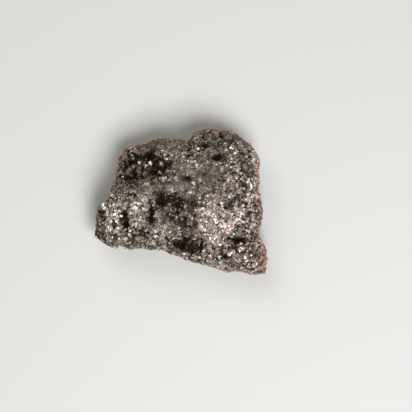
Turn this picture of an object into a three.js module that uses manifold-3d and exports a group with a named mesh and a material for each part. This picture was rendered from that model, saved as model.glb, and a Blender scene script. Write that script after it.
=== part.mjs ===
// A hand specimen of pyrite, about as wide as a palm: one massive lump of fine-grained iron
// sulphide with cubic crystals grown out of it. It lies on the flat break where it parted from
// its vein, with its weathered, pitted face up. The lump and its crystals grew as one piece,
// so they are one solid.
//
// Millimetres, +Z up. The origin is on the flat break, under the middle of the outline.

import * as THREE from "three";
import { mergeVertices } from "three/addons/utils/BufferGeometryUtils.js";
import Module from "manifold-3d";

const wasm = await Module();
wasm.setup();

// ---------------------------------------------------------------- driving dimensions

// The lump seen from above, counter-clockwise from the right: [x, y] of each bend.
// It is 76 wide and 65 deep.
const OUTLINE = [
  [34.0, 5.7], [33.5, 13.0], [34.3, 17.5], [32.7, 23.2], [28.9, 26.8], [25.6, 29.0], // right flank
  [21.7, 31.3], [17.0, 31.9], [12.2, 32.3], [7.8, 31.1], [5.9, 30.3], [5.2, 28.9], // crown
  [4.8, 26.4], [3.3, 25.6], [0.6, 26.8], // notch in the top edge
  [-4.5, 27.6], [-9.7, 27.5], [-12.6, 26.9], [-15.6, 25.6], // left hump
  [-24.5, 24.2], [-26.8, 21.2], [-28.3, 17.0], [-29.1, 8.6], // left shoulder
  [-30.4, 4.5], [-32.4, 1.1], [-37.2, -3.4], [-37.5, -8.0], [-38.2, -14.6], // left corner
  [-34.9, -18.0], [-31.5, -20.3], [-25.1, -21.0], [-9.4, -21.3], // left foot
  [-4.6, -23.1], [0.0, -24.8], [6.8, -27.4], [13.7, -29.8], [17.9, -31.0], // slanted edge
  [20.5, -31.2], [25.2, -30.7],
  [29.2, -31.7], [33.7, -32.8], [36.7, -31.9], [37.5, -29.4], [37.7, -21.0], // right foot
  [35.9, -18.2], [34.2, -15.9], [34.6, -13.7], // notch above the right foot
  [35.9, -8.6], [36.1, -4.0], [34.7, 1.6], // waist of the right flank
];

const CROWN_HEIGHT = 29; // of the worn face above the break, before its rises and hollows
const WAIST_HEIGHT = 12; // of the widest level
const CREST_Y = 2.5; // the worn face has a low roof-like crest along this line
const FRONT_FALL = 0.2; // slope of the face in front of the crest
const BACK_FALL = 0.13; // slope behind it
const SHOULDER = 2.7; // exponent of the rounded edge: 2 is a circle, more is squarer
const UNDERCUT = 1.34; // how fast the sides turn in under the waist

// Rises and hollows of the worn face: [x, y, half length, half width, turn in degrees, height].
const RISES = [
  [-28.0, -8.5, 9, 7, 20, 2.6], // left foot
  [-17.0, -6.0, 6, 5, 0, 2.2], // between the slot and the arch
  [-7.0, -14.0, 6, 4, -10, 1.8], // low rise in front of the arch
  [-5.8, -7.0, 4, 3, 20, 1.8], // keystone under the arch
  [4.6, -13.5, 3, 3, 0, 1.0], // knob between the two front hollows
  [14.0, -7.5, 7, 5, 30, 3.2], // bright brow
  [26.0, -5.5, 8, 4, 12, 2.2], // brow running out to the right
  [28.5, -25.0, 8, 6, -15, 2.6], // right foot
  [12.0, -23.5, 6, 4, -20, 2.0], // slanted edge
  [18.0, 23.0, 13, 9, -25, 2.6], // crown lobe
  [21.0, 10.5, 8, 7, 0, 2.2], // dome of the right shoulder
  [-7.0, 24.0, 7, 4, -5, 2.6], // left hump
  [-13.0, 6.5, 14, 3.5, 10, 2.4], // smooth band
  [2.0, 10.5, 7, 6, 30, 1.8], // where the band meets the crown
  [-27.0, 16.0, 3, 8, -8, 1.2], // rim of the left shoulder
  [33.0, 9.0, 2, 8, 0, 1.0], // rim of the right flank
];
const HOLLOWS = [
  [-17.5, 15.0, 12, 7.5, -14, -3.4], // basin of the left shoulder
  [-10.2, 12.4, 3.8, 2.0, 8, -3.2], // vugs in the basin
  [-21.2, 10.6, 4.2, 1.8, 4, -2.6],
  [-13.4, 20.0, 3.2, 2.4, 0, -2.0],
  [-5.8, 16.8, 2.6, 2.4, 0, -2.4],
  [-19.6, 18.6, 4.2, 2.2, 0, -1.8],
  [-24.0, -9.4, 1.8, 3.4, 6, -6.0], // standing slot in the left foot
  [-23.7, -5.0, 1.2, 2.4, -22, -4.0], // and its top
  [-31.3, -6.1, 1.5, 1.5, 0, -1.8],
  [-20.2, -17.5, 1.8, 3.2, 10, -2.6], // channel out through the left foot
  [-4.4, -1.2, 9.5, 5, 0, -3.0], // arch
  [-12.9, -5.2, 1.7, 4.0, -4, -4.8], // its left leg
  [-8.6, 0.6, 4.0, 2.4, 20, -3.4], // its crown
  [-1.0, 0.6, 3.6, 2.6, -30, -2.6], // its right leg
  [0.6, -9.5, 5.5, 11, 0, -1.5], // valley that runs down from the arch to the front
  [3.8, -19.0, 8, 4.2, -12, -2.4], // front hollow
  [-0.6, -18.8, 3.6, 1.8, -12, -3.8],
  [9.0, -17.8, 1.7, 2.8, -20, -3.4],
  [4.5, -21.4, 3.2, 1.4, -12, -2.2],
  [24.6, -16.4, 4.2, 1.6, 6, -4.8], // slot above the right foot
  [21.3, -16.0, 1.8, 1.3, 0, -2.6],
  [19.2, -23.6, 2.2, 1.4, -20, -3.4], // vug in the right foot
  [10.6, 24.3, 2.4, 1.2, -8, -2.6], // small vugs of the crown
  [16.9, 19.5, 2.4, 1.6, 0, -3.4],
  [12.4, 18.2, 3.6, 0.9, 25, -1.6],
  [29.6, 21.4, 2.4, 1.5, -40, -1.6],
  [3.2, 9.6, 1.6, 1.0, -50, -1.8],
  [9.6, 11.8, 1.0, 1.8, 10, -1.8],
  [19.5, 28.2, 3.6, 1.2, -10, -1.3],
  [22.0, 0.0, 3.8, 2.6, 50, -2.4], // mottled hollow inside the right flank
  [29.0, -5.6, 1.8, 1.8, 0, -2.0],
  [24.6, -10.8, 1.2, 2.2, 10, -1.8],
  [3.7, 24.0, 1.1, 3.6, 0, -2.2], // groove below the notch in the top edge
];

// Flat breaks: each plane faces [turn, tilt] in degrees, and what stands further out from the
// lump's middle than its distance is broken away.
const BREAKS = [
  [186, 38, 31.5], // left corner
  [216, 34, 35.0],
  [262, 42, 25.5], // under the slanted edge
  [300, 38, 38.0],
  [332, 30, 41.8],
  [8, 34, 33.5], // right flank
  [48, 42, 35.0],
  [76, 30, 34.0],
  [108, 38, 30.5], // behind the left hump
  [150, 36, 32.5],
  [24, -38, 30.5], // undercuts
  [88, -30, 28.5],
  [150, -42, 25.0],
  [206, -34, 33.8],
  [252, -38, 22.5],
  [318, -36, 41.0],
];

// Swells of the whole skin: [period, height].
const SWELLS = [
  [13, 1.5],
  [5.5, 0.9],
  [2.5, 1.1],
];
const SIDE_SWELL = 0.5; // share of a swell that the steep sides get
const WANDER = 0.6; // how far the edge of a rise or hollow wanders
const WANDER_PERIOD = 3;
const EVENING = [-0.05, -0.025, 0, 0.025, 0.05]; // steps round that even out the bends inside

const CLUSTERS = 30; // of cubic crystals large enough to count
const CLUSTER_CRYSTALS = 4; // cubes in each, intergrown
const CLUSTER_SPREAD = 0.045; // how far they stand apart, as a share of the way round
const FACE_EDGES = [1.3, 2.1]; // smallest and largest cube on the worn face
const FLANK_EDGES = [1.5, 3.2]; // and on the flanks
const CRYSTAL_SUNK = 0.38; // share of its edge that a cube's middle lies under the skin
const CRYSTAL_REACH = 1.18; // lean of the lowest cluster
const FLANK = 1.06; // lean from which they count as on the flanks

const RINGS = 18; // of the skin's grid, from the middle of each face to the waist
const FACE_RINGS = 0.66; // share of the rings inside the rounded shoulder

const PYRITE = new THREE.MeshStandardMaterial({
  color: 0x8c8274,
  roughness: 0.42,
  metalness: 0.85,
  flatShading: true,
});

// ---------------------------------------------------------------- small formulas

const { degToRad, lerp, mapLinear } = THREE.MathUtils;
const share = (a) => a - Math.floor(a);

// A number from 0 to 1 that belongs to one corner of a cubic lattice.
const cornerValue = (x, y, z) => share(Math.sin(x * 127.1 + y * 311.7 + z * 74.7) * 43758.5453);

// Smooth noise from -1 to 1: the eight lattice corners round a point, blended by smooth steps.
function noise(x, y, z) {
  const [i, j, k] = [x, y, z].map(Math.floor);
  const [a, b, c] = [x - i, y - j, z - k].map((f) => f * f * (3 - 2 * f));
  const edge = (dj, dk) =>
    lerp(cornerValue(i, j + dj, k + dk), cornerValue(i + 1, j + dj, k + dk), a);
  return 2 * lerp(lerp(edge(0, 0), edge(1, 0), b), lerp(edge(0, 1), edge(1, 1), b), c) - 1;
}

// The height of a rise or hollow at a point: a bell over an ellipse turned about its middle.
function bell([x, y, halfLength, halfWidth, turn, height], px, py) {
  const [c, s] = [Math.cos(degToRad(turn)), Math.sin(degToRad(turn))];
  const along = ((px - x) * c + (py - y) * s) / halfLength;
  const across = ((py - y) * c - (px - x) * s) / halfWidth;
  return height * Math.exp(-1.2 * (along * along + across * across));
}

// The unit vector that faces [turn, tilt] in degrees.
const facing = (turn, tilt) =>
  new THREE.Vector3().setFromSphericalCoords(1, degToRad(90 - tilt), degToRad(turn + 90))
    .applyAxisAngle(new THREE.Vector3(1, 0, 0), Math.PI / 2);

// ---------------------------------------------------------------- the skin of the lump

const outline = new THREE.CatmullRomCurve3(
  OUTLINE.map(([x, y]) => new THREE.Vector3(x, y, 0)),
  true,
  "catmullrom",
  0.5,
);
outline.arcLengthDivisions = 2000;

const breaks = BREAKS.map(([turn, tilt, distance]) => ({ out: facing(turn, tilt), distance }));
const middle = new THREE.Vector3(0, 0, WAIST_HEIGHT);

// The worn face's height over a point, before its edge rounds it down to the waist.
// The rises and hollows wander by noise, so that none is even.
function faceHeight(x, y) {
  const fall = y < CREST_Y ? FRONT_FALL * (CREST_Y - y) : BACK_FALL * (y - CREST_Y);
  const [px, py] = [[x, 2.5], [y, 8.5]].map(([at, level]) =>
    at + WANDER * noise(x / WANDER_PERIOD, y / WANDER_PERIOD, level));
  return [...RISES, ...HOLLOWS].reduce((z, form) => z + bell(form, px, py), CROWN_HEIGHT - fall);
}

// The level at which the sides are widest, round the outline.
const waistHeight = (u) =>
  WAIST_HEIGHT + 2.2 * Math.sin(4 * Math.PI * u + 1) + 1.4 * Math.sin(10 * Math.PI * u + 0.5);

// The rim that a point of the skin is drawn in from: the outline at the waist, with its bends
// evened out towards the middle.
function rimAt(u, down) {
  const evened = EVENING.reduce((sum, step) => sum.add(outline.getPointAt(share(u + step))),
    new THREE.Vector3()).divideScalar(EVENING.length);
  return evened.lerp(outline.getPointAt(share(u)), down * down);
}

// A point of the skin. u goes once round the outline, and lean goes from 0 in the middle of the
// worn face to 1 at the waist and 2 in the middle of the underside. Along lean the section is a
// superellipse, whose upper half reaches the face's height and whose lower half turns in faster.
function skin(u, lean) {
  const down = lean < 1 ? lean : 2 - lean;
  const angle = down < FACE_RINGS
    ? mapLinear(down, 0, FACE_RINGS, 0, Math.PI / 4)
    : mapLinear(down, FACE_RINGS, 1, Math.PI / 4, Math.PI / 2);
  const [sine, cosine] = [Math.sin(angle), Math.cos(angle)];
  const reach = (sine ** SHOULDER + cosine ** SHOULDER) ** (-1 / SHOULDER);
  const rim = rimAt(u, down);
  const [x, y] = [rim.x * reach * sine, rim.y * reach * sine];
  const rise = reach * cosine;
  const waist = waistHeight(u);
  const z = lean < 1 ? waist + (faceHeight(x, y) - waist) * rise : waist * (1 - UNDERCUT * rise);
  const out = rim.normalize().multiplyScalar(sine * SIDE_SWELL);
  out.z = lean < 1 ? cosine : -cosine;
  const swell = SWELLS.reduce((sum, [period, height]) =>
    sum + height * noise(x / period + 7, y / period + 3, z / period + 5), 0);
  return broken(new THREE.Vector3(x, y, z).addScaledVector(out, swell));
}

// A point, pressed back onto each flat break that it stands out past.
function broken(point) {
  for (const { out, distance } of breaks) {
    const past = point.clone().sub(middle).dot(out) - distance;
    if (past > 0) point.addScaledVector(out, -past);
  }
  return point;
}

// A point of the square grid that is laid over a face, so that its square rings become round.
function gridPoint(i, j, under) {
  const wide = Math.abs(i) > Math.abs(j);
  const [major, minor] = wide ? [i, j] : [j, i];
  const eighth = major ? minor / major / 8 : 0;
  const u = (wide ? eighth : 0.25 - eighth) + (major < 0 ? 0.5 : 0);
  const lean = Math.abs(major) / RINGS;
  return skin(u, under ? 2 - lean : lean);
}

// The closed skin: one grid over the worn face and one over the underside, which share the waist.
function skinGeometry() {
  const side = 2 * RINGS + 1;
  const positions = [];
  const corners = [];
  for (const under of [false, true]) {
    const first = positions.length / 3;
    for (let j = -RINGS; j <= RINGS; j++)
      for (let i = -RINGS; i <= RINGS; i++) {
        const a = first + (j + RINGS) * side + i + RINGS;
        const [b, c, d] = [a + 1, a + 1 + side, a + side];
        positions.push(...gridPoint(i, j, under));
        if (i === RINGS || j === RINGS) continue;
        const cell = (i + 0.5) * (j + 0.5) > 0 ? [a, b, d, b, c, d] : [a, b, c, a, c, d];
        corners.push(...(under ? cell.reverse() : cell));
      }
  }
  const geometry = new THREE.BufferGeometry();
  geometry.setAttribute("position", new THREE.Float32BufferAttribute(positions, 3));
  geometry.setIndex(corners);
  return geometry;
}

// ---------------------------------------------------------------- solids

// A closed geometry as a solid.
function solid(geometry) {
  geometry.deleteAttribute("normal");
  geometry.deleteAttribute("uv");
  const merged = mergeVertices(geometry, 1e-4);
  return new wasm.Manifold(
    new wasm.Mesh({
      numProp: 3,
      vertProperties: merged.attributes.position.array,
      triVerts: new Uint32Array(merged.index.array),
    }),
  );
}

// A solid as a geometry.
function geometryOf(body) {
  const mesh = body.getMesh();
  const geometry = new THREE.BufferGeometry();
  geometry.setAttribute("position", new THREE.BufferAttribute(mesh.vertProperties, 3));
  geometry.setIndex(new THREE.BufferAttribute(mesh.triVerts, 1));
  return geometry;
}

// One cubic crystal of a cluster, sunk into the skin and turned its own way. Stepping each place
// and turn by its own irrational share spreads them evenly.
function crystal(cluster, i) {
  const n = cluster * CLUSTER_CRYSTALS + i;
  const around = 2 * Math.PI * share(n * 0.618034);
  const apart = i ? CLUSTER_SPREAD : 0;
  const u = share(0.5 + cluster * 0.7548776662) + apart * Math.cos(around) * 0.5;
  const lean = CRYSTAL_REACH * Math.sqrt(share(0.5 + cluster * 0.569840291)) + apart * Math.sin(around);
  const step = 0.004;
  const at = skin(u, lean);
  const round = skin(u + step, lean).sub(at);
  const down = skin(u, lean + step).sub(at);
  const out = down.cross(round).normalize();
  const edge = lerp(...(lean < FLANK ? FACE_EDGES : FLANK_EDGES), share(n * 0.414214) ** 2);
  const turn = new THREE.Euler(n * 2.399963, n * 1.324718, n * 0.914214);
  return new THREE.BoxGeometry(edge, edge, edge)
    .applyQuaternion(new THREE.Quaternion().setFromEuler(turn))
    .translate(...at.addScaledVector(out, -CRYSTAL_SUNK * edge));
}

let specimen = solid(skinGeometry());
for (let cluster = 1; cluster <= CLUSTERS; cluster++)
  for (let i = 0; i < CLUSTER_CRYSTALS; i++) specimen = specimen.add(solid(crystal(cluster, i)));
const ground = solid(new THREE.BoxGeometry(200, 200, 50).translate(0, 0, -25));
specimen = specimen.subtract(ground);

const pyrite = new THREE.Mesh(geometryOf(specimen), PYRITE);
pyrite.name = "pyrite_specimen";

const group = new THREE.Group();
group.add(pyrite);

export default group;
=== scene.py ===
"""A palm-sized hand specimen of pyrite, lying on the flat break it rests on with its weathered,
pitted face up: a lump of massive iron sulphide, grown over with cubic crystals from a third of
a millimetre to three. Lengths in the numbers below are millimetres until a mesh is made."""

import bpy
import numpy as np
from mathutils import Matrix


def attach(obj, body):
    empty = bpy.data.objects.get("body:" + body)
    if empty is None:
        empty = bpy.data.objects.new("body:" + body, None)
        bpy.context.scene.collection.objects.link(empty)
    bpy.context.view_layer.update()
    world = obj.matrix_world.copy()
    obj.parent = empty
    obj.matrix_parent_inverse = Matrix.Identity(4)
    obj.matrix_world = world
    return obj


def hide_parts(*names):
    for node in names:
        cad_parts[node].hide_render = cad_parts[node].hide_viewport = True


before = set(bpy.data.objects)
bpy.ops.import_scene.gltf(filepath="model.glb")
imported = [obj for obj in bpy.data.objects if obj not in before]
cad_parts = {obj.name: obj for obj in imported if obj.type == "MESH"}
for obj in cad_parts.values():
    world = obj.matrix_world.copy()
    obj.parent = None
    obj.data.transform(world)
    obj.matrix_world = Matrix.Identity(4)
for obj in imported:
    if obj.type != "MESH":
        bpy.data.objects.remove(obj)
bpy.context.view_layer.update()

# ------------------------------------------------------------------ the lump
# Massive pyrite, iron disulphide, broken out of its vein. It is one closed skin: two square
# grids, each laid over a disc, one for the worn face and one for the underside, joined along
# the waist. Its form is the CAD solid's, worked out finely, so it takes that node's place.

# [x, y] of each bend of the lump seen from above, counter-clockwise from the right.
OUTLINE = np.array([
    (34.0, 5.7), (33.5, 13.0), (34.3, 17.5), (32.7, 23.2), (28.9, 26.8), (25.6, 29.0),
    (21.7, 31.3), (17.0, 31.9), (12.2, 32.3), (7.8, 31.1), (5.9, 30.3), (5.2, 28.9),
    (4.8, 26.4), (3.3, 25.6), (0.6, 26.8),
    (-4.5, 27.6), (-9.7, 27.5), (-12.6, 26.9), (-15.6, 25.6),
    (-24.5, 24.2), (-26.8, 21.2), (-28.3, 17.0), (-29.1, 8.6),
    (-30.4, 4.5), (-32.4, 1.1), (-37.2, -3.4), (-37.5, -8.0), (-38.2, -14.6),
    (-34.9, -18.0), (-31.5, -20.3), (-25.1, -21.0), (-9.4, -21.3),
    (-4.6, -23.1), (0.0, -24.8), (6.8, -27.4), (13.7, -29.8), (17.9, -31.0), (20.5, -31.2),
    (25.2, -30.7), (29.2, -31.7), (33.7, -32.8), (36.7, -31.9), (37.5, -29.4), (37.7, -21.0),
    (35.9, -18.2), (34.2, -15.9), (34.6, -13.7),
    (35.9, -8.6), (36.1, -4.0), (34.7, 1.6),
])

CROWN_HEIGHT = 29  # of the worn face above the break, before its rises and hollows
WAIST_HEIGHT = 12  # of the widest level
WAIST_WAVES = [(2, 2.2, 1), (5, 1.4, 0.5)]  # how often round, height, start in radians
CREST_Y = 2.5  # the worn face has a low roof-like crest along this line
FRONT_FALL = 0.2  # slope of the face in front of the crest
BACK_FALL = 0.13  # slope behind it
SHOULDER = 2.7  # exponent of the rounded edge: 2 is a circle, more is squarer
UNDERCUT = 1.34  # how fast the sides turn in under the waist
FACE_SHARE = 0.66  # share of the way to the waist that lies inside the rounded shoulder

# Rises and hollows of the worn face: x, y, half length, half width, turn in degrees, height.
RISES = [
    (-28.0, -8.5, 9, 7, 20, 2.6),  # left foot
    (-17.0, -6.0, 6, 5, 0, 2.2),  # between the slot and the arch
    (-7.0, -14.0, 6, 4, -10, 1.8),  # low rise in front of the arch
    (-5.8, -7.0, 4, 3, 20, 1.8),  # keystone under the arch
    (4.6, -13.5, 3, 3, 0, 1.0),  # knob between the two front hollows
    (14.0, -7.5, 7, 5, 30, 3.2),  # bright brow
    (26.0, -5.5, 8, 4, 12, 2.2),  # brow running out to the right
    (28.5, -25.0, 8, 6, -15, 2.6),  # right foot
    (12.0, -23.5, 6, 4, -20, 2.0),  # slanted edge
    (18.0, 23.0, 13, 9, -25, 2.6),  # crown lobe
    (21.0, 10.5, 8, 7, 0, 2.2),  # dome of the right shoulder
    (-7.0, 24.0, 7, 4, -5, 2.6),  # left hump
    (-13.0, 6.5, 14, 3.5, 10, 2.4),  # smooth band
    (2.0, 10.5, 7, 6, 30, 1.8),  # where the band meets the crown
    (-27.0, 16.0, 3, 8, -8, 1.2),  # rim of the left shoulder
    (33.0, 9.0, 2, 8, 0, 1.0),  # rim of the right flank
]
HOLLOWS = [
    (-17.5, 15.0, 12, 7.5, -14, -3.4),  # basin of the left shoulder
    (-10.2, 12.4, 3.8, 2.0, 8, -3.2),  # vugs in the basin
    (-21.2, 10.6, 4.2, 1.8, 4, -2.6),
    (-13.4, 20.0, 3.2, 2.4, 0, -2.0),
    (-5.8, 16.8, 2.6, 2.4, 0, -2.4),
    (-19.6, 18.6, 4.2, 2.2, 0, -1.8),
    (-24.0, -9.4, 1.8, 3.4, 6, -6.0),  # standing slot in the left foot
    (-23.7, -5.0, 1.2, 2.4, -22, -4.0),  # and its top
    (-31.3, -6.1, 1.5, 1.5, 0, -1.8),
    (-20.2, -17.5, 1.8, 3.2, 10, -2.6),  # channel out through the left foot
    (-4.4, -1.2, 9.5, 5, 0, -3.0),  # arch
    (-12.9, -5.2, 1.7, 4.0, -4, -4.8),  # its left leg
    (-8.6, 0.6, 4.0, 2.4, 20, -3.4),  # its crown
    (-1.0, 0.6, 3.6, 2.6, -30, -2.6),  # its right leg
    (0.6, -9.5, 5.5, 11, 0, -1.5),  # valley that runs down from the arch to the front
    (3.8, -19.0, 8, 4.2, -12, -2.4),  # front hollow
    (-0.6, -18.8, 3.6, 1.8, -12, -3.8),
    (9.0, -17.8, 1.7, 2.8, -20, -3.4),
    (4.5, -21.4, 3.2, 1.4, -12, -2.2),
    (24.6, -16.4, 4.2, 1.6, 6, -4.8),  # slot above the right foot
    (21.3, -16.0, 1.8, 1.3, 0, -2.6),
    (19.2, -23.6, 2.2, 1.4, -20, -3.4),  # vug in the right foot
    (10.6, 24.3, 2.4, 1.2, -8, -2.6),  # small vugs of the crown
    (16.9, 19.5, 2.4, 1.6, 0, -3.4),
    (12.4, 18.2, 3.6, 0.9, 25, -1.6),
    (29.6, 21.4, 2.4, 1.5, -40, -1.6),
    (3.2, 9.6, 1.6, 1.0, -50, -1.8),
    (9.6, 11.8, 1.0, 1.8, 10, -1.8),
    (19.5, 28.2, 3.6, 1.2, -10, -1.3),
    (22.0, 0.0, 3.8, 2.6, 50, -2.4),  # mottled hollow inside the right flank
    (29.0, -5.6, 1.8, 1.8, 0, -2.0),
    (24.6, -10.8, 1.2, 2.2, 10, -1.8),
    (3.7, 24.0, 1.1, 3.6, 0, -2.2),  # groove below the notch in the top edge
]

# Flat breaks: the way each faces, turn and tilt in degrees, and how far out from the lump's
# middle it lies.
BREAKS = [
    (186, 38, 31.5), (216, 34, 35.0), (262, 42, 25.5), (300, 38, 38.0),
    (332, 30, 41.8), (8, 34, 33.5), (48, 42, 35.0), (76, 30, 34.0),
    (108, 38, 30.5), (150, 36, 32.5), (24, -38, 30.5), (88, -30, 28.5),
    (150, -42, 25.0), (206, -34, 33.8), (252, -38, 22.5), (318, -36, 41.0),
]

BELL_FALL = 1.2  # leaves 0.3 of a rise or hollow at its ellipse
WANDER = 0.6  # how far the edge of a rise or hollow wanders
WANDER_PERIOD = 3
WANDER_LEVELS = (2.5, 8.5)  # levels of the noise that it wanders by, in x and in y
EVENING = (-0.05, -0.025, 0, 0.025, 0.05)  # steps round that even out the bends inside
SWELLS = [(13, 1.5), (5.5, 0.9), (2.5, 1.1)]  # of the whole skin: period, height
SWELL_START = (7, 3, 5)  # where in the noise they start
SIDE_SWELL = 0.5  # share of a swell that the steep sides get
CURVE_STEPS = 2000  # of the curve, to measure its length by
ROUND_STEPS = 1440  # of the outline, as it is kept


def along_outline(u):
    """[x, y] at the share u of the way round: a closed Catmull-Rom curve through the bends, read
    at equal steps of its length."""
    def bend(t):
        start = np.floor(t * len(OUTLINE)).astype(int)
        w = (t * len(OUTLINE) - start)[..., None]
        before, a, b, after = (OUTLINE[(start + k) % len(OUTLINE)] for k in (-1, 0, 1, 2))
        leave, arrive = (b - before) / 2, (after - a) / 2
        return (a + leave * w + (3 * (b - a) - 2 * leave - arrive) * w**2
                + (2 * (a - b) + leave + arrive) * w**3)
    t = np.linspace(0, 1, CURVE_STEPS + 1)
    length = np.append(0, np.linalg.norm(np.diff(bend(t), axis=0), axis=1).cumsum())
    return bend(np.interp(u % 1, length / length[-1], t))


ROUND = np.linspace(0, 1, ROUND_STEPS + 1)
RIM = along_outline(ROUND)
EVENED = sum(along_outline(ROUND + step) for step in EVENING) / len(EVENING)


HASH = (127.1, 311.7, 74.7)  # how far apart neighbouring lattice corners lie on a sine
LARGE = 43758.5453  # a sine times this has a fraction that looks random


def noise(x, y, z):
    """Smooth noise from -1 to 1: the fraction of a large sine at the eight lattice corners round
    a point, blended by smooth steps."""
    i, j, k = (np.floor(v) for v in (x, y, z))
    a, b, c = (f * f * (3 - 2 * f) for f in (x - i, y - j, z - k))

    def corner(di, dj, dk):
        angle = (i + di) * HASH[0] + (j + dj) * HASH[1] + (k + dk) * HASH[2]
        return np.sin(angle) * LARGE % 1

    def edge(dj, dk):
        return corner(0, dj, dk) * (1 - a) + corner(1, dj, dk) * a

    near, far = (edge(0, dk) * (1 - b) + edge(1, dk) * b for dk in (0, 1))
    return 2 * (near * (1 - c) + far * c) - 1


def bells(forms, x, y):
    """The sum of rises and hollows over a point: each a bell over an ellipse turned about its
    middle. The ellipses wander by noise, so that none is even."""
    wander = [WANDER * noise(x / WANDER_PERIOD, y / WANDER_PERIOD, level)
              for level in WANDER_LEVELS]
    x, y = x + wander[0], y + wander[1]
    total = np.zeros_like(x)
    for mx, my, half_length, half_width, turn, height in forms:
        c, s = np.cos(np.radians(turn)), np.sin(np.radians(turn))
        along = ((x - mx) * c + (y - my) * s) / half_length
        across = ((y - my) * c - (x - mx) * s) / half_width
        total += height * np.exp(-BELL_FALL * (along**2 + across**2))
    return total


def skin(u, lean):
    """A point of the skin. u goes once round the outline, whose bends even out inwards; lean goes
    from 0 in the middle of the worn face to 1 at the waist and 2 in the middle of the underside.
    Along lean the section is a superellipse, whose upper half reaches the face's height and
    whose lower half turns in faster. Noise swells it outwards, the steep sides less, and flat
    breaks press it back."""
    upper = lean < 1
    down = np.where(upper, lean, 2 - lean)
    angle = np.pi / 4 * np.interp(down, (0, FACE_SHARE, 1), (0, 1, 2))
    sine, cosine = np.sin(angle), np.cos(angle)
    reach = (sine**SHOULDER + cosine**SHOULDER) ** (-1 / SHOULDER)
    rim, evened = (np.stack([np.interp(u % 1, ROUND, line) for line in curve.T], -1)
                   for curve in (RIM, EVENED))
    rim = evened + (rim - evened) * (down**2)[:, None]
    x, y = (rim * (reach * sine)[..., None]).T
    rise = reach * cosine
    waist = sum((height * np.sin(2 * np.pi * times * u + start)
                 for times, height, start in WAIST_WAVES), WAIST_HEIGHT)
    fall = np.where(y < CREST_Y, FRONT_FALL * (CREST_Y - y), BACK_FALL * (y - CREST_Y))
    face = CROWN_HEIGHT - fall + bells(RISES + HOLLOWS, x, y)
    z = np.where(upper, waist + (face - waist) * rise, waist * (1 - UNDERCUT * rise))
    out = rim / np.linalg.norm(rim, axis=-1)[..., None] * sine[..., None] * SIDE_SWELL
    out = np.column_stack([out, np.where(upper, cosine, -cosine)])
    swell = sum(height * noise(*(v / period + start for v, start in zip((x, y, z), SWELL_START)))
                for period, height in SWELLS)
    point = np.column_stack([x, y, z]) + out * swell[:, None]
    for turn, tilt, distance in BREAKS:
        turn, tilt = np.radians((turn, tilt))
        facing = np.array([np.cos(tilt) * np.cos(turn), np.cos(tilt) * np.sin(turn),
                           np.sin(tilt)])
        past = (point - (0, 0, WAIST_HEIGHT)) @ facing - distance
        point = point - np.maximum(past, 0)[:, None] * facing
    return point


def outward(u, lean):
    """The skin's unit normal: the cross product of a small step down it and one round it."""
    step = 0.004
    at = skin(u, lean)
    normal = np.cross(skin(u, lean + step) - at, skin(u + step, lean) - at)
    return normal / np.linalg.norm(normal, axis=1)[:, None]


def add_mesh(name, points, quads, material, maps, numbers, smooth=False):
    """A mesh object from millimetre points and rows of four corners. maps are UVs by name, one
    pair for each corner; numbers are attributes by name, one for each point."""
    mesh = bpy.data.meshes.new(name)
    mesh.vertices.add(len(points))
    mesh.vertices.foreach_set("co", (points / 1000).astype(np.float32).ravel())
    mesh.loops.add(quads.size)
    mesh.loops.foreach_set("vertex_index", quads.astype(np.int32).ravel())
    mesh.polygons.add(len(quads))
    mesh.polygons.foreach_set("loop_start", np.arange(0, quads.size, 4, dtype=np.int32))
    mesh.polygons.foreach_set("use_smooth", np.full(len(quads), smooth))
    for key, values in maps.items():
        layer = mesh.uv_layers.new(name=key)
        layer.uv.foreach_set("vector", values.astype(np.float32).ravel())
    for key, values in numbers.items():
        mesh.attributes.new(key, "FLOAT", "POINT")
        mesh.attributes[key].data.foreach_set("value", values.astype(np.float32))
    mesh.update(calc_edges=True)
    mesh.validate()
    mesh.materials.append(material)
    piece = bpy.data.objects.new(name, mesh)
    bpy.context.scene.collection.objects.link(piece)
    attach(piece, "root")
    return piece


def disc_grid(rings):
    """u, the share of the way out and the corner rows of a square grid laid over a disc: its
    square rings become round ones, so each side of the square is a quarter turn."""
    j, i = np.mgrid[-rings:rings + 1, -rings:rings + 1]
    wide = abs(i) > abs(j)
    major, minor = np.where(wide, i, j), np.where(wide, j, i)
    eighth = minor / np.where(major == 0, 1, major) / 8
    u = np.where(wide, eighth, 0.25 - eighth) + 0.5 * (major < 0)
    index = np.arange(i.size).reshape(i.shape)
    quads = np.stack([index[:-1, :-1], index[:-1, 1:], index[1:, 1:], index[1:, :-1]], -1)
    return u.ravel(), abs(major).ravel() / rings, quads.reshape(-1, 4)


# Rusty tarnish creeps in over the rim from the flanks: the way each patch faces and how far round
# it spreads in degrees, its strength, and how much further than RUST_REACH it comes in over the
# rim, as a share of the way to the waist. The underside has an even share of it.
RUST = [(14, 38, 1.0, 0.03), (75, 30, 0.9, 0.03), (118, 26, 0.9, 0.04), (155, 26, 0.8, 0.02),
        (-33, 9, 0.9, 0.07), (-15, 14, 0.8, 0.02), (268, 10, 0.6, 0.05), (306, 12, 0.4, 0.02)]
RUST_REACH = 0.18  # how far in over the rim it starts
RUST_RISE = 0.1  # how much further out it is at its full strength
RUST_FRAY = 0.05  # how far its edge strays
RUST_FRAY_PERIOD = 2.2
LEAST_RUST = 0.45  # share of its strength that is left where it is thinnest
RUST_PERIOD = 6  # of its thin and thick patches
RUST_CONTRAST = 1.4
UNDER_RUST = 0.35  # strength on the underside
UNDER_START = 1.1  # lean from which the patches give way to that
UNDER_RISE = 0.4  # how much further down they have all done so


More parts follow.
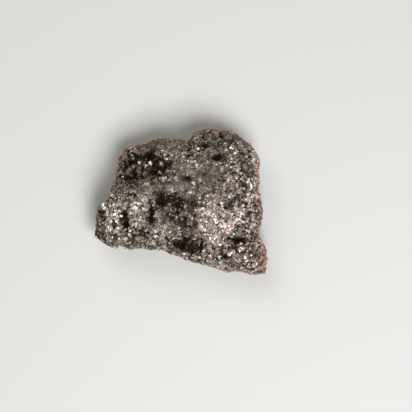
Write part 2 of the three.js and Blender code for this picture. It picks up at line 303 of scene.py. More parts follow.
def rustiness(u, lean, at):
    """0 to 1: the patches' sum, risen over the last stretch of the way to the waist, evened out
    under it and broken up by noise."""
    turn = np.degrees(np.arctan2(at[:, 1], at[:, 0]))
    patches, reach = np.zeros_like(turn), np.full_like(turn, RUST_REACH)
    for way, wide, strength, further in RUST:
        near = np.exp(-((((turn - way + 180) % 360 - 180) / wide) ** 2))
        patches += strength * near
        reach += further * near
    patches += (UNDER_RUST - patches) * np.clip((lean - UNDER_START) / UNDER_RISE, 0, 1)
    edge = (lean - 1 + reach + RUST_FRAY * noise(*(at / RUST_FRAY_PERIOD).T)) / RUST_RISE
    thick = np.clip(0.5 + RUST_CONTRAST * noise(*(at / RUST_PERIOD).T), 0, 1)
    thick = LEAST_RUST + (1 - LEAST_RUST) * thick
    return np.clip(edge, 0, 1) * np.clip(patches, 0, 1) * thick


# Where grime and painted shade darken the deepest pits or spread out of the hollows, and where
# they are thinner (less than 0): as the rises and hollows are given, and above 1 where no crystal
# stays clear.
GRIME_AND_SHADE = [
    (-11.6, 16.5, 2.8, 7.5, 0, 0.6), (-20.5, 18, 4.4, 2.8, 0, 0.5), (-24.3, 9.7, 3.8, 2.2, 0, 0.9),
    (-6.2, 15.4, 2.3, 1.5, 0, 0.7), (-8.5, 0.3, 4, 3.4, 0, 0.6), (-0.5, -1.7, 2, 4, 0, 0.6),
    (-12.4, -7.2, 1.8, 3.2, -6, 1.1), (-23.9, -8.7, 1.8, 3.6, 8, 1.7),
    (25.9, -16.9, 3.2, 1.1, 0, 1.8),
    (16.6, 19.3, 2, 1.8, 0, 1.0), (-1.6, -18.3, 2, 1.8, 0, 0.7), (4.5, -20.2, 2, 1.8, 0, 0.6),
    (10, 24, 2.6, 1.3, -10, 1.3), (9, -20.4, 1.5, 1.2, 0, 0.8), (3.3, 9.6, 1.8, 1.3, 0, 1.1),
    (19.1, -23.8, 1.3, 1.5, 0, 1.0), (17.3, 27.8, 1.4, 1.5, 0, 1.2), (-2.5, -6.5, 4, 4.5, 0, 0.25),
    (3, -20.5, 9, 3.6, -12, 0.62), (19, -25.2, 4, 2.4, -20, 0.25), (29.4, -5.5, 2.8, 2.6, 0, 0.6),
    (12, 18.8, 3.5, 1.2, 10, 0.35), (-13, 21.5, 3, 4.5, 0, 0.5),
    (-7.3, 3.6, 5, 2.4, 0, 0.4), (-18, 13.5, 3.5, 3, 0, -0.5), (-7.5, 13.5, 2.5, 2, 0, 0.2),
    (33.5, 11, 3, 5, 0, -0.5), (-23, 23.5, 4, 2.2, 0, -0.5), (13.5, -11.5, 3, 2.5, 0, -0.4),
]
USUAL = 0.68  # how dark a hollow is painted, for grime and shade, without them
DARKENING_START = 0.6  # depth of a hollow from which it is painted darker
DARKENING_RISE = 3.0  # how much deeper it is darkest
DARKENING_FRAY = 1.4  # how much deeper or less deep the darkening takes a hollow to be, in patches
DARKENING_PERIOD = 1.9
THICKEST = 0.96  # share of a crystal's shine that the thickest grime and painted shade take


def hollow_shade_and_grime(lean, at):
    """How dark the worn face is painted, for grime and for the shade in its hollows: a share of
    how deep in its hollows a point lies, frayed by noise, and the patches' sum. It is 0 where
    clean, 1 where full, and more in packed pits."""
    depth = -bells(HOLLOWS, at[:, 0], at[:, 1]) + DARKENING_FRAY * noise(*(at / DARKENING_PERIOD).T)
    usual = USUAL * np.clip((depth - DARKENING_START) / DARKENING_RISE, 0, 1)
    return np.maximum(usual + bells(GRIME_AND_SHADE, at[:, 0], at[:, 1]), 0) * (lean < 1)


# Crystals grow in clumps of like turn, with a groove between each and the next.
CLUMP = 2.3  # width of a clump
GROOVE = 0.5  # depth and width of the groove
# How far apart neighbouring cells lie on a sine, for each of a clump's three numbers.
CLUMP_HASH = np.array([(127.1, 269.5, 113.5), (311.7, 183.3, 271.9), (74.7, 246.1, 124.6)])


def clumps(at):
    """0 to 1: how deep a point lies in the groove round its clump, and three numbers from 0 to 1
    that the clump has to itself. A clump is the space nearest to one of the points jittered
    about a cubic lattice, so a groove is where the nearest two are equally far."""
    here = at / CLUMP
    cell = np.floor(here) + np.stack(np.mgrid[-1:2, -1:2, -1:2], -1).reshape(27, 1, 3)
    jitter = np.sin(cell @ CLUMP_HASH) * LARGE % 1
    away = np.linalg.norm(cell + jitter - here, axis=-1)
    nearest, every = away.argmin(0), np.arange(len(at))
    first = away[nearest, every]
    away[nearest, every] = np.inf
    return np.clip(1 - (away.min(0) - first) * CLUMP / GROOVE, 0, 1), jitter[nearest, every]


def linear(code):
    """An sRGB hex colour as linear red, green, blue and 1."""
    s = np.array([int(code[k:k + 2], 16) for k in (1, 3, 5)]) / 255
    return (*np.where(s <= 0.04045, s / 12.92, ((s + 0.055) / 1.055) ** 2.4), 1)


def node(tree, kind, inputs=(), **settings):
    """Adds a shader node with its settings. An input is linked if it is given a socket, and set
    if it is given a value."""
    made = tree.nodes.new("ShaderNode" + kind)
    for key, value in settings.items():
        setattr(made, key, value)
    for key, value in dict(inputs).items():
        if isinstance(value, bpy.types.NodeSocket):
            tree.links.new(value, made.inputs[key])
        else:
            made.inputs[key].default_value = value
    return made


def pyrite(name, grain_mm, relief_mm, smooth, dark, pale):
    """Pyrite with a dull metallic lustre. Its metal is grey, in patches of two tones, olive and
    painted darker as shade behind the crest, and rosy to the right before it, with each crystal a
    tone of its own that painted light and shade make brighter or darker by place. Its gaps, pits
    and hollows are painted nearly black as shade, with grime in the hollows, and its rim rusts to
    a rough, dull oxide. smooth is the least roughness of a clean face; the grain is its bump."""
    made = bpy.data.materials.new(name)
    made.use_nodes = True
    tree = made.node_tree
    tree.nodes.clear()
    place = node(tree, "TexCoord").outputs["Object"]
    shade, rust, soot, dull = (node(tree, "Attribute", attribute_name=key).outputs["Fac"]
                               for key in ("shade", "rust", "soot", "dull"))
    across = node(tree, "SeparateXYZ", {"Vector": place}).outputs
    # behind the crest the metal has an olive tint, which also paints it darker as shade
    # each rises from nothing to its most, over a stretch of the lump or of a number
    behind, before, tone_and_shade = (
        node(tree, "MapRange", {"Value": value, "From Min": start, "From Max": end,
                                "To Max": most}).outputs[0]
        for value, start, end, most in ((across["Y"], 0.002, 0.014, 0.6),
                                        (across["Y"], 0.016, 0.004, 0.55), (shade, 1, 0, 0.9)))
    right = node(tree, "MapRange", {"Value": across["X"], "From Min": 0.0, "From Max": 0.013,
                                    "To Max": before}).outputs[0]
    # patches: their size, and their least and their most, which is a cover or a roughness
    tones, olive_and_shade, rosy, stains, face = (
        node(tree, "MapRange", {
            "Value": node(tree, "TexNoise", {"Vector": place, "Scale": 1000 / size}).outputs[0],
            "From Min": 0.4, "From Max": 0.6, "To Min": least, "To Max": most}).outputs[0]
        for size, least, most in ((7, 0, 1), (5, 0, behind), (6, 0, right), (2, 0, rust),
                                  (0.9, smooth, smooth + 0.16)))
    colour = linear(dark)
    # the dark brown follows each crystal's tone with its painted light and shade; the near-black
    # is painted shade in gaps, pits, grooves and hollows, with some grime and soot
    for cover, code in ((tones, pale), (rosy, "#EDD6D1"), (olive_and_shade, "#ABA792"),
                        (tone_and_shade, "#382508"), (rust, "#97695D"), (stains, "#C7A396"),
                        (soot, "#221102")):
        colour = node(tree, "Mix", {"Factor": cover, "A": colour, "B": linear(code)},
                      data_type="RGBA").outputs[2]
    bump = node(tree, "TexVoronoi", {"Vector": place, "Scale": 1000 / grain_mm})
    bump = node(tree, "Bump", {"Height": bump.outputs["Distance"], "Strength": 0.5,
                               "Distance": relief_mm / 1000})
    rough = node(tree, "MapRange", {"Value": dull, "To Min": face, "To Max": 0.8}).outputs[0]
    metallic = node(tree, "MapRange", {"Value": rust, "To Min": 1.0, "To Max": 0.3}).outputs[0]
    shader = node(tree, "BsdfPrincipled", {
        "Base Color": colour, "Specular Tint": linear("#B0824F"), "Metallic": metallic,
        "Roughness": rough, "Normal": bump.outputs["Normal"]})
    node(tree, "OutputMaterial", {"Surface": shader.outputs[0]})
    return made


# The lump itself is darker and brassier than its crystals, with a deeper grain. It shows on the
# flat break, and between the crystals that crust it, where it is painted dark as shade.
massive_pyrite = pyrite("massive_pyrite", grain_mm=0.5, relief_mm=0.25, smooth=0.38,
                        dark="#7D6E50", pale="#A8987A")

RINGS = 108  # of the grid, from its middle to the waist
CRUST = 0.6  # depth of the crust of small crystals, whose tips reach the skin
GRAIN_SWELLS = [(1.3, 0.4), (0.7, 0.22)]  # of the lump under the crust: period, height
BREAK_EDGE = 0.4  # height of the skin under which the lump is broken off flat
BREAK_RELIEF = [(1.5, 0.3), (0.6, 0.15)]  # of the flat break, inward: period, depth
BREAK_SOOT, GAP_SHADE = 0.2, 0.82  # how sooty the break is, and how dark the lump between crystals is painted as shade
LUMP_SHADE = 0.5
LUMP_DULL = 0.45
MAP_SIZE, MAP_EDGE = (0.48, 0.96), (0.01, 0.02)  # of the square that the worn face is laid out in
MAP_STEP = (0.5, 0)  # from there to the underside's square

u, out_share, quads = disc_grid(RINGS)
on_rim = out_share == 1
above = np.arange(len(u))
below = np.where(on_rim, above, len(u) - 1 + np.cumsum(~on_rim))
lean = np.append(out_share, 2 - out_share[~on_rim])
around = np.append(u, u[~on_rim])
points = skin(around, lean)
fine = sum(height * noise(*(points / period).T) for period, height in GRAIN_SWELLS)
groove, _ = clumps(points)
grown = points + outward(around, lean) * (fine - CRUST - GROOVE * groove)[:, None]
broken_off = points[:, 2] < BREAK_EDGE
relief = sum(depth * np.abs(noise(*(points[:, :2] / period).T, 0))
             for period, depth in BREAK_RELIEF)
grown[:, 2] = np.where(broken_off, relief, np.maximum(grown[:, 2], 0))
grown[broken_off, :2] = points[broken_off, :2]
square = np.stack(np.mgrid[0:1:(2 * RINGS + 1) * 1j, 0:1:(2 * RINGS + 1) * 1j][::-1], -1)
square = square.reshape(-1, 2) * MAP_SIZE + MAP_EDGE
lump = add_mesh(
    "pyrite_lump", grown, np.vstack([quads, below[quads][:, ::-1]]), massive_pyrite,
    maps={"OFBake": np.vstack([square[quads].reshape(-1, 2),
                               (square[quads][:, ::-1] + MAP_STEP).reshape(-1, 2)])},
    numbers={"rust": rustiness(around, lean, points),
             # the lump between the crystals is painted dark as shade; the flat break has a little
             # soot
             "soot": np.where(broken_off, BREAK_SOOT, GAP_SHADE),
             "shade": np.full(len(points), LUMP_SHADE), "dull": np.full(len(points), LUMP_DULL)},
    smooth=True,
)
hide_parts("pyrite_specimen")

# ------------------------------------------------------------------ the crust of crystals
# Small pyrite crystals that cover the lump as they grew: cubes and stretched cubes of a third of
# a millimetre to nearly two, packed side by side and sunk by part of their size. They are coarse
# and turned every way in the hollows, and fine and worn level along the smooth bands.

# Where the face is coarse (more than 0) or fine (less): as the rises and hollows are given.
COARSENESS = [
    (-16, 15, 11, 8, -8, 1.0), (-9, 12, 5, 4, 0, 0.5), (-3, -3, 10, 8, 0, 0.7),
    (2, -18, 9, 5, -12, 0.7), (28, 12, 7, 14, 0, 0.3), (24, -24, 14, 8, -15, 0.35),
    (16, -6, 9, 8, 20, 0.3), (-28, -8, 9, 10, 0, 0.4), (-12, 6, 16, 3, 8, -0.8),
    (-3, 12, 6, 6, 30, -0.45), (-8, 25, 8, 3.5, -5, -0.7), (13, 10, 8, 9, 30, -0.2),
    (-5.8, -8, 5, 3, 20, -0.6),
]

# Where its crystals are painted brighter as light (more than 0) or darker as shade (less), given
# alike.
PAINTED_LIGHT_AND_SHADE = [
    (14, -9.5, 7, 7.5, 20, 0.85), (24.5, -6.2, 4, 4, 20, 0.55), (33.5, 14, 3, 11, 0, 0.9),
    (-27.5, -5, 5.5, 8, 20, 0.95), (-34.5, -6, 3, 4, 0, -0.45), (-20, -1, 5, 2.6, 0, 0.35),
    (-6.5, -13.2, 4.5, 4.5, 0, 0.55), (16, -22, 6.5, 3.2, -20, 0.6),
    (12.5, -26, 4, 2.2, -20, -0.2),
    (1.5, 18, 5, 7, 0, 0.3), (-8, 25.5, 7, 3, 0, 0.3), (-22, 23, 5, 3, 0, 0.6),
    (-32, -15, 6, 4, -20, -0.35), (-18, -13.8, 4, 5, 0, -0.6), (-34, -13, 3, 3, 0, -0.2),
    (23.5, -1, 4, 2.5, 30, -0.4), (27.4, 8.2, 1.8, 3.4, 0, -0.65), (19, 4, 3, 2.5, 0, -0.2),
    (19, -5.6, 3.2, 3.2, 0, -0.4),
    (-4.7, -7, 5, 3.8, 0, -0.5), (7.5, 0, 5, 5, 0, -0.2), (3.9, -8, 4, 7, 0, -0.65),
    (14.5, -16, 3, 2.5, 0, -0.3), (8.4, -15.7, 3, 3, 0, -0.35), (-17, 14, 12, 8, -14, -0.15),
    (-12.5, 8.8, 4, 2.5, 0, 0.25),
    (-28.7, 3.8, 4, 3, 0, -0.55), (-18.5, 3.5, 3.5, 3, 0, -0.4), (-6.5, 8, 6, 2.5, 10, -0.2),
    (3, 4, 3.5, 2.5, 0, 0.25), (5, 8.6, 9, 4, 0, -0.35), (9, 18, 4, 3, 0, -0.2),
    (15, 24, 14, 6, -20, -0.05), (34.5, -25.5, 4, 4, 0, -0.35), (35, -13, 2.5, 5, 0, 0.4),
    (25, 16.5, 5, 3.5, 0, 0.15), (29.5, 22, 3, 3, 0, 0.3), (24.5, -11, 3, 2.5, 0, -0.2),
    (30, -11.5, 3, 3, 0, 0.4), (14, -11, 2.6, 2.2, 0, 0.4),
    (24.5, -20.5, 4, 2.5, 0, -0.15), (-20, -7, 7, 4, 90, 0.15), (-29.5, -10.5, 3.5, 3, 0, 0.65),
    (-15.4, -5, 2, 4, 0, 0.2), (24, -26, 6.5, 3, -10, -0.25), (-12.2, -11, 3, 2.5, 0, 0.1),
    (10.5, 22, 6, 3, 0, 0.35), (-1.5, -1, 4, 3, 0, 0.3), (-13.5, 17, 6, 4, 0, 0.35),
    (15, 12, 5, 4, 0, 0.2),
]

USUAL_COARSENESS = 0.42
COARSE_PATCHES = 0.25  # how much coarser or finer the crystals are in patches
COARSE_PERIOD = 5
LEAST_COARSE = 0.1
RIM_WEAR = 0.4  # how much finer they are along the worn waist
RIM_WIDTH = 0.08  # how far from the waist that goes, in lean

# Each pair is a value where the crust is worn level, and what is added where it is coarsest.
SMALLEST = (0.4, 0.1)  # size of its smallest crystals
SIZE_RANGE = (0.3, 0.5)  # how much larger its largest are
SLACK = (0.1, 0.15)  # radians by which crystals stray from their clump's way
CONTRAST = (0.2, 1.5)  # of their shades

SIZE_FALL = 2.4  # how fast sizes fall off to the smallest: 1 is evenly
STRETCH = (0.75, 1.3)  # least and most that an edge is of its crystal's size
LEAST_TIP = 0.04  # share of the half sphere that the finest crystals' tips spread over
ALONE = 0.45  # share of crystals turned their own way, not as their clump

MIDDLING = 0.65  # size of a crystal that is sunk by CRUST
RAISED = 0.8  # how much higher a larger one stands, as a share of the difference
UNEVEN = (-0.1, 0.2)  # and how much higher by chance, least and most, as a share of its size
LEVEL = -0.24  # height of the tips of the finest grain, which is worn level
UNWORN = 0.42  # coarseness from which crystals stand as they grew
PIT_PERIOD = 1.5  # small pits where the crystals are coarse
PIT_LEVEL = 0.3  # of the noise at which they start: higher is fewer
PIT_RISE = 0.3  # how much above that they are deepest
PIT_DEPTH = 0.5

CLUMP_SHADE, OWN_SHADE = 0.7, 0.45  # how far the shades of clumps and of crystals range
SHADE_MIX = 7.3  # makes a clump's shade from the sum of its three numbers
MEAN_SHADE = 0.585
CLEAN = 0.8  # a crystal whose size times a random share is more than this stays clear of grime and shade
CRACK_SHADE = 0.4  # how dark the groove round a clump is painted, as shade, where the crystals are coarse
GAP_SHADE_DEPTH = 0.5  # how far under the skin the gaps are painted dark, as painted shade
RUST_SHARE = (0.5, 1)  # least and most that a crystal takes of the rust where it is
MATT = 0.6  # how dull the finest grain is

SCATTER_ROUND, SCATTER_DOWN = 600, 240  # cells of the grid that crystals are scattered by
SCATTER_EDGE = 0.5  # height of the skin from which they are
LOWEST = 0.9  # height of the skin from which they are kept
TYPICAL = 0.4  # chance that gives the size they are spread by
CROWDING = 1.6  # how much sparser larger ones are: at 2 all sizes cover the lump alike

CUBE = np.array([(x, y, z) for z in (-1, 1) for y in (-1, 1) for x in (-1, 1)]) / 2
CUBE_FACES = np.array([(0, 2, 3, 1), (4, 5, 7, 6), (0, 1, 5, 4), (2, 6, 7, 3), (0, 4, 6, 2),
                       (1, 3, 7, 5)])


def coarseness(lean, at):
    """0.1 for level worn grain to 1 for coarse crystals turned every way: the places' sum, less
    along the waist, frayed by noise."""
    there = USUAL_COARSENESS + bells(COARSENESS, at[:, 0], at[:, 1]) * (lean < 1)
    there -= RIM_WEAR * np.exp(-(((lean - 1) / RIM_WIDTH) ** 2))
    return np.clip(there + COARSE_PATCHES * noise(*(at / COARSE_PERIOD).T), LEAST_COARSE, 1)


def grain_size(coarse, chance):
    """Most crystals are small: the size grows with a power of chance, and with coarseness."""
    return (SMALLEST[0] + SMALLEST[1] * coarse
            + (SIZE_RANGE[0] + SIZE_RANGE[1] * coarse) * chance**SIZE_FALL)


def scattered(count, low, high, draw):
    """u and lean of count points between two leans, spread by area over a power of the crystals'
    size: a grid's cells laid end to end, stepped through evenly with a random place in each step
    and cell."""
    du, dl = 1 / SCATTER_ROUND, (high - low) / SCATTER_DOWN
    u, lean = np.meshgrid(np.arange(SCATTER_ROUND) * du, low + np.arange(SCATTER_DOWN) * dl)
    u, lean = u.ravel(), lean.ravel()
    at = skin(u, lean)
    area = np.linalg.norm(np.cross(skin(u + du, lean) - at, skin(u, lean + dl) - at), axis=1)
    size = grain_size(coarseness(lean, at), TYPICAL)
    sum_to = np.cumsum(area * ((at[:, 2] > SCATTER_EDGE) / size**CROWDING))
    steps = (np.arange(count) + draw.random(count)) / count * sum_to[-1]
    cell = np.searchsorted(sum_to, steps)
    return u[cell] + du * draw.random(count), lean[cell] + dl * draw.random(count)


def gap_shade_and_grime(corners, at, up, grime_and_shade):
    """How much of its shine each corner loses to painted shade: more the deeper it is sunk under
    the skin, and no less than its crystal has lost to grime and painted shade."""
    sunk = -np.einsum("nkc,nc->nk", corners - at[:, None], up)
    return np.maximum(np.clip(sunk / GAP_SHADE_DEPTH, 0, 1), grime_and_shade[:, None])


def own_cells(count):
    """UVs of count quads, each in a cell of its own of a square grid, a tenth in from its edge."""
    wide = int(np.ceil(np.sqrt(count)))
    cell = np.stack([np.arange(count) % wide, np.arange(count) // wide], -1)
    corner = np.array([(0.1, 0.1), (0.9, 0.1), (0.9, 0.9), (0.1, 0.9)])
    return ((cell[:, None] + corner) / wide).reshape(-1, 2)


def crust(name, count, low, high, seed, material):
    """Crystals between two leans. Each is a cube stretched a little along each edge, tipped off
    the skin's normal by as much as the crust is coarse there, and sunk by part of its size."""
    draw = np.random.default_rng(seed)
    u, lean = scattered(count, low, high, draw)
    at, up = skin(u, lean), outward(u, lean)
    keep = at[:, 2] > LOWEST
    u, lean, at, up = u[keep], lean[keep], at[keep], up[keep]
    coarse = coarseness(lean, at)
    size = grain_size(coarse, draw.random(len(u)))
    groove, own = clumps(at)
    alone = draw.random(len(u)) < ALONE
    slack = draw.normal(0, 1, (3, len(u))) * (SLACK[0] + SLACK[1] * coarse)
    tip = np.where(alone, draw.random(len(u)), own[:, 0]) * (LEAST_TIP + (1 - LEAST_TIP) * coarse)
    tip = np.arccos(1 - tip) + slack[0]
    tip_way = np.where(alone, draw.random(len(u)), own[:, 1]) * 2 * np.pi + slack[1]
    spin = np.where(alone, draw.random(len(u)), own[:, 2]) * 2 * np.pi + slack[2]
    # two directions along the skin; z gives the first, or x where the skin is nearly level
    side = np.cross(up, np.where(abs(up[:, 2:]) < 0.9, (0, 0, 1), (1, 0, 0)))
    side /= np.linalg.norm(side, axis=1)[:, None]
    other = np.cross(up, side)
    c, s = np.cos(tip_way)[:, None], np.sin(tip_way)[:, None]
    hinge, lean_to = side * c + other * s, other * c - side * s
    c, s = np.cos(tip)[:, None], np.sin(tip)[:, None]
    axis, across = up * c - lean_to * s, lean_to * c + up * s
    c, s = np.cos(spin)[:, None], np.sin(spin)[:, None]
    frame_of = np.stack([hinge * c + across * s, across * c - hinge * s, axis], 1)
    edges = size[:, None] * draw.uniform(*STRETCH, (len(u), 3))
    level = LEVEL - size / 2
    raised = size * draw.uniform(*UNEVEN, len(u)) + RAISED * (size - MIDDLING) - CRUST
    raised = level + (raised - level) * np.clip(coarse / UNWORN, 0, 1)
    pit = np.clip((noise(*(at / PIT_PERIOD).T) - PIT_LEVEL) / PIT_RISE, 0, 1) * coarse
    raised -= GROOVE * groove * coarse + PIT_DEPTH * pit
    centre = at + up * raised[:, None]
    corners = np.einsum("kj,nj,njc->nkc", CUBE, edges, frame_of) + centre[:, None]
    corners[..., 2] = np.maximum(corners[..., 2], 0)
    # painted light and shade: crystals brighter where the face is lit, darker where it lies in
    # shade
    painted_light = bells(PAINTED_LIGHT_AND_SHADE, at[:, 0], at[:, 1]) * (lean < 1)
    shade = CLUMP_SHADE * (own.sum(1) * SHADE_MIX % 1) + OWN_SHADE * draw.random(len(u))
    shade -= (CLUMP_SHADE + OWN_SHADE) / 2
    shade = np.clip(MEAN_SHADE + shade * (CONTRAST[0] + CONTRAST[1] * coarse) + painted_light, 0, 1)
    # grime and painted shade in the hollows, which some larger crystals stay clear of
    grime_and_shade = hollow_shade_and_grime(lean, at)
    clean = draw.random(len(u)) * size > CLEAN * np.maximum(grime_and_shade, 1) ** 2
    # pits and the grooves round clumps are painted darker as well: painted shade
    grime_and_shade = THICKEST * np.clip(np.where(clean, 0, grime_and_shade) + pit + CRACK_SHADE * groove * coarse, 0, 1)
    # painted shade: each corner is darker the deeper it is sunk, and darker in hollows, pits and
    # grooves
    soot = gap_shade_and_grime(corners, at, up, grime_and_shade)
    rust = rustiness(u, lean, at) * draw.uniform(*RUST_SHARE, len(u))
    dull = np.maximum(soot, np.maximum(rust, MATT * (1 - coarse))[:, None])
    rows = (np.arange(len(u))[:, None, None] * len(CUBE) + CUBE_FACES).reshape(-1, 4)
    return add_mesh(
        name, corners.reshape(-1, 3), rows, material, maps={"OFBake": own_cells(len(rows))},
        numbers={"rust": np.repeat(rust, len(CUBE)), "soot": soot.ravel(),
                 "dull": dull.ravel(), "shade": np.repeat(shade, len(CUBE))},
    )


# The crystals' faces are cleaner and brighter than the lump, with a fine etched grain.
crystal_pyrite = pyrite("crystalline_pyrite", grain_mm=0.35, relief_mm=0.08, smooth=0.44,
                        dark="#BDB3A3", pale="#E7DED3")

# Each band of the crust from the middle of the face down: its name and where it starts and ends.
BANDS = [("crystals_of_the_face", 0.0, 0.52), ("crystals_of_the_shoulder", 0.52, 0.88),
         ("crystals_of_the_flanks", 0.88, 1.12), ("crystals_under_the_waist", 1.12, 1.6)]
BAND_CRYSTALS = 15600

for seed, (name, start, end) in enumerate(BANDS, 3):  # each band draws from its own seed
    crust(name, BAND_CRYSTALS, start, end, seed, crystal_pyrite)

# ------------------------------------------------------------------ the larger crystals
# Cubes of pyrite from one to three millimetres, intergrown in clusters, larger on the flanks than
# on the worn face. Their faces are bright, with the fine growth lines that pyrite has, which run
# square to those of the next face. They are fused to the lump where the CAD solid has them.

CLUSTERS = 30
CLUSTER_CRYSTALS = 4  # cubes in each
CLUSTER_SPREAD = (0.0225, 0.045)  # how far they stand from its first: in u and in lean
FACE_EDGES = (1.3, 2.1)  # smallest and largest cube on the worn face
FLANK_EDGES = (1.5, 3.2)  # and on the flanks
CRYSTAL_SUNK = 0.38  # share of its edge that a cube's middle lies under the skin
CRYSTAL_REACH = 1.18  # lean of the lowest cluster
FLANK = 1.06  # lean from which they count as on the flanks
EDGE_ROUND = 0.06  # radius of a cube's worn edges, as a share of its edge
FACE_DENTS = 0.05  # depth of the dents in its faces
DENT_PERIOD = 0.6
STRIAE = 0.22  # spacing of the growth lines
STRIA_RELIEF = 0.03
FACE_RUST = 0.6  # how much they take of the rust where they are
SHADES = (0.2, 0.65)  # least and most
# Steps from one to the next that do not repeat, which spread the clusters and vary the cubes.
SPREAD_STEPS = (0.7548776662, 0.569840291)  # of clusters: round, and down
WAY_STEP = 0.618034  # of the way a cube stands from its cluster's first, in turns
TURN_STEPS = (2.399963, 1.324718, 0.914214)  # of its turns about x, y and z, in radians
EDGE_STEP = 0.414214
SHADE_STEP = 0.7320508


def rounded_cube():
    """The points and corner rows of a cube of edge 1, and for each corner how far across its
    face's growth lines it lies. Each face is a grid of six by six points; a point is moved to
    the edge radius from the nearest point of an inner cube."""
    inner = 0.5 - EDGE_ROUND
    marks = np.array([-0.5, -inner, -0.2, 0.2, inner, 0.5])
    side = len(marks)
    points, rows, lines = [], [], []
    for axis in range(3):
        for end in (-0.5, 0.5):
            a, b = np.meshgrid(marks, marks)
            face = np.empty((side, side, 3))
            face[..., axis], face[..., axis - 2], face[..., axis - 1] = end, a, b
            index = np.arange(side**2).reshape(side, side) + side**2 * len(rows)
            turn = [index[:-1, :-1], index[:-1, 1:], index[1:, 1:], index[1:, :-1]]
            quads = np.stack(turn if end > 0 else turn[::-1], -1).reshape(-1, 4)
            points.append(face.reshape(-1, 3))
            rows.append(quads)
            lines.append(face.reshape(-1, 3)[quads - index[0, 0], axis - 1])
    points = np.vstack(points)
    unique, same = np.unique(points.round(6), axis=0, return_inverse=True)
    core = np.clip(unique, -inner, inner)
    off = unique - core
    unique = core + off * EDGE_ROUND / np.maximum(np.linalg.norm(off, axis=1), 1e-9)[:, None]
    return unique, same.reshape(-1)[np.vstack(rows)], np.vstack(lines)


def turned(x, y, z):
    """The rotation matrices that turn about z, then y, then x, by angles in radians."""
    one, none = np.ones_like(x), np.zeros_like(x)

    def rows(*values):
        return np.stack(values, -1).reshape(-1, 3, 3)

    about_x = rows(one, none, none, none, np.cos(x), -np.sin(x), none, np.sin(x), np.cos(x))
    about_y = rows(np.cos(y), none, np.sin(y), none, one, none, -np.sin(y), none, np.cos(y))
    about_z = rows(np.cos(z), -np.sin(z), none, np.sin(z), np.cos(z), none, none, none, one)
    return about_x @ about_y @ about_z


cluster, i = (v.ravel() for v in np.mgrid[1:CLUSTERS + 1, 0:CLUSTER_CRYSTALS])
n = cluster * CLUSTER_CRYSTALS + i
way = 2 * np.pi * (n * WAY_STEP % 1)
u, down = ((0.5 + cluster * step) % 1 for step in SPREAD_STEPS)
u += (i > 0) * CLUSTER_SPREAD[0] * np.cos(way)
lean = CRYSTAL_REACH * np.sqrt(down) + (i > 0) * CLUSTER_SPREAD[1] * np.sin(way)
at, up = skin(u, lean), outward(u, lean)
small, large = np.where(lean < FLANK, np.array(FACE_EDGES)[:, None],
                        np.array(FLANK_EDGES)[:, None])
edge = small + (large - small) * (n * EDGE_STEP % 1) ** 2
shape, rows, lines = rounded_cube()
corners = np.einsum("kj,nij->nki", shape, turned(*(n * step for step in TURN_STEPS)))
corners = corners * edge[:, None, None] + (at - up * (CRYSTAL_SUNK * edge)[:, None])[:, None]
dents = FACE_DENTS * noise(*(corners.reshape(-1, 3) / DENT_PERIOD).T)
dents = dents.reshape(corners.shape[:2])
corners -= np.abs(dents)[..., None] * up[:, None]
corners[..., 2] = np.maximum(corners[..., 2], 0)
# painted shade and grime in the hollows, which every other cube stays clear of
grime_and_shade = THICKEST * np.minimum(hollow_shade_and_grime(lean, at), 1) * (n % 2)  # every other one is clean
# painted shade: corners sunk deeper under the skin are darker
soot = gap_shade_and_grime(corners, at, up, grime_and_shade).ravel()
rust = np.repeat(FACE_RUST * rustiness(u, lean, at), len(shape))
shade = SHADES[0] + (SHADES[1] - SHADES[0]) * (n * SHADE_STEP % 1)
quads = (np.arange(len(n))[:, None, None] * len(shape) + rows).reshape(-1, 4)
striae = (lines[None] * edge[:, None, None]).reshape(-1, 4)

striated_pyrite = pyrite("striated_pyrite", grain_mm=0.4, relief_mm=0.05, smooth=0.36,
                         dark="#BDB3A3", pale="#E7DED3")
tree = striated_pyrite.node_tree
spacing = node(tree, "UVMap", uv_map="striae").outputs["UV"]
WAVE_PERIOD = 0.314  # a wave texture of scale 1 repeats every so much of its coordinate
wave = node(tree, "TexWave", {"Vector": spacing, "Scale": WAVE_PERIOD / STRIAE,
                              "Distortion": 1.2, "Detail": 2.0}, bands_direction="X")
shader = tree.nodes["Principled BSDF"]
lined = node(tree, "Bump", {"Height": wave.outputs["Fac"], "Distance": STRIA_RELIEF / 1000,
                            "Normal": shader.inputs["Normal"].links[0].from_socket})
tree.links.new(lined.outputs["Normal"], shader.inputs["Normal"])

add_mesh(
    "larger_crystals", corners.reshape(-1, 3), quads, striated_pyrite,
    maps={"OFBake": own_cells(len(quads)),
          "striae": np.stack([striae, np.zeros_like(striae)], -1).reshape(-1, 2)},
    numbers={"rust": rust, "soot": soot, "dull": np.maximum(rust, soot),
             "shade": np.repeat(shade, len(shape))},
)

# ------------------------------------------------------------------ the setting
# A floor of plain pale paper and soft studio light: a softbox high at the front right that
# catches the crystal faces, a wider and weaker one high at the back left, and a warm grey room.

FLOOR_COLOUR = "#AEACA8"
FLOOR_ROUGHNESS = 0.9
FLOOR_REACH = 10  # metres each way
LIGHT_COLOUR = "#F5F9FF"
ROOM_COLOUR = "#B7AA91"
ROOM_LIGHT = 0.39

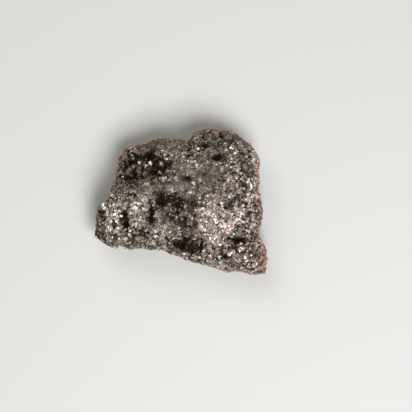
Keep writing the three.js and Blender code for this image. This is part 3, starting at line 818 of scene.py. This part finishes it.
floor_material = bpy.data.materials.new("matt_paper_floor")
floor_material.use_nodes = True
floor_shader = floor_material.node_tree.nodes["Principled BSDF"]
floor_shader.inputs["Base Color"].default_value = linear(FLOOR_COLOUR)
floor_shader.inputs["Roughness"].default_value = FLOOR_ROUGHNESS
floor_mesh = bpy.data.meshes.new("floor")
floor_corners = FLOOR_REACH * np.array([(-1, -1, 0), (1, -1, 0), (1, 1, 0), (-1, 1, 0)])
floor_mesh.from_pydata(floor_corners.tolist(), [], [(0, 1, 2, 3)])
floor_mesh.materials.append(floor_material)
floor = bpy.data.objects.new("floor", floor_mesh)
bpy.context.scene.collection.objects.link(floor)

world = bpy.data.worlds.new("studio")
world.use_nodes = True
room = world.node_tree.nodes["Background"].inputs
room["Color"].default_value = linear(ROOM_COLOUR)
room["Strength"].default_value = ROOM_LIGHT
bpy.context.scene.world = world
bpy.context.scene.view_settings.view_transform = "Standard"


def softbox(name, turn, height, distance, size, watts):
    """A square light that faces the break's middle from a turn and a height in degrees. Its
    distance and its size are metres."""
    light = bpy.data.lights.new(name, "AREA")
    light.size = size
    light.energy = watts
    light.color = linear(LIGHT_COLOUR)[:3]
    turn, height = np.radians((turn, height))
    lamp = bpy.data.objects.new(name, light)
    lamp.location = distance * np.array([np.cos(height) * np.cos(turn),
                                         np.cos(height) * np.sin(turn), np.sin(height)])
    lamp.rotation_euler = (np.pi / 2 - height, 0, turn + np.pi / 2)
    bpy.context.scene.collection.objects.link(lamp)


softbox("key", turn=-60, height=60, distance=0.9, size=0.5, watts=14.5)
softbox("fill", turn=120, height=50, distance=1.2, size=0.8, watts=8)

# ------------------------------------------------------------------ the camera
# Straight above the worn face, which the specimen turns up as it lies.

MM_PER_PIXEL = 76 / 172  # the lump is about 76 mm and 172 pixels wide
PICTURE = 412  # width of the picture in pixels
VIEW_MIDDLE = (11.05, -2.0)  # x and y of what lies in its middle
SCALE_LEVEL = 15  # height above the floor at which that scale holds
LENS = 120
SENSOR = 36

camera_data = bpy.data.cameras.new("camera")
camera_data.lens = LENS
camera_data.sensor_width = SENSOR
camera = bpy.data.objects.new("camera", camera_data)
distance = MM_PER_PIXEL * PICTURE * LENS / SENSOR
camera.location = np.array([*VIEW_MIDDLE, SCALE_LEVEL + distance]) / 1000
bpy.context.scene.collection.objects.link(camera)
bpy.context.scene.camera = camera
